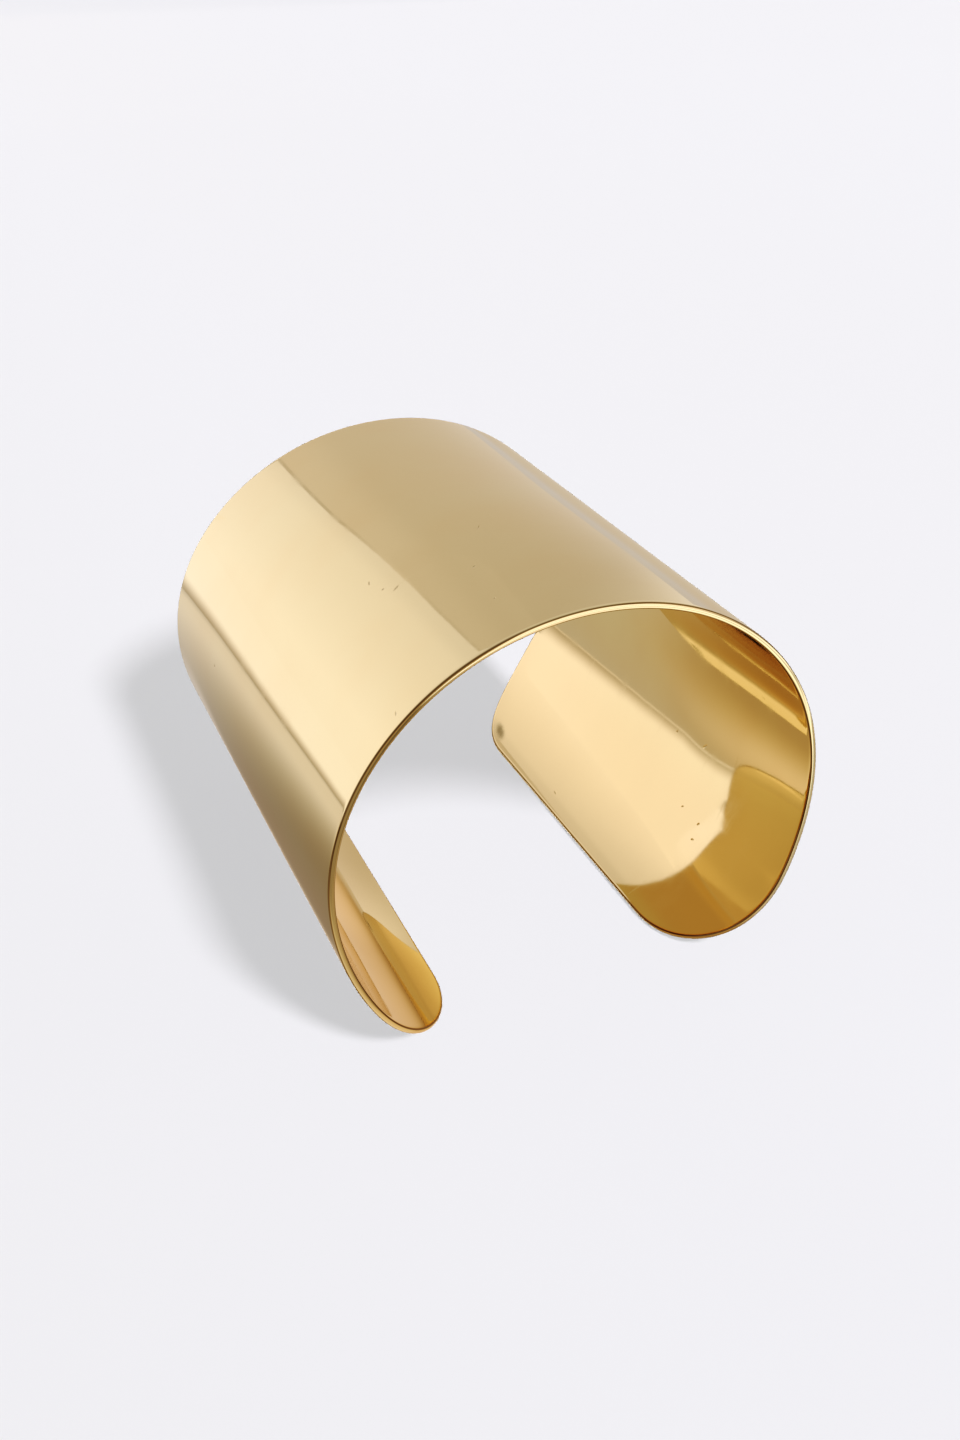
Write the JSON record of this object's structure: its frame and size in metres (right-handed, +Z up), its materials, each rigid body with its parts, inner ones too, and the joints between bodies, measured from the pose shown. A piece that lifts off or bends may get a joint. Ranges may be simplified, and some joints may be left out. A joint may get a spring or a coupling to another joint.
{
  "type": "cuff bangle",
  "caption": "Wide open cuff bangle of thin polished pale gold sheet with rounded corners, bent to an oval with a gap between its free ends.",
  "frame": {"origin": "on the surface that the cuff lies on, under the middle of the crown", "axes": "+X across the gap between the free ends, +Y through the wrist hollow from the front rim to the back rim, +Z up through the crown"},
  "size_m": [0.0608, 0.0684, 0.0527],
  "materials": {
    "polished_gold": "polished, pale yellow gold plate"
  },
  "bodies": {
    "root": {"cuff": "polished_gold"}
  },
  "joints": []
}
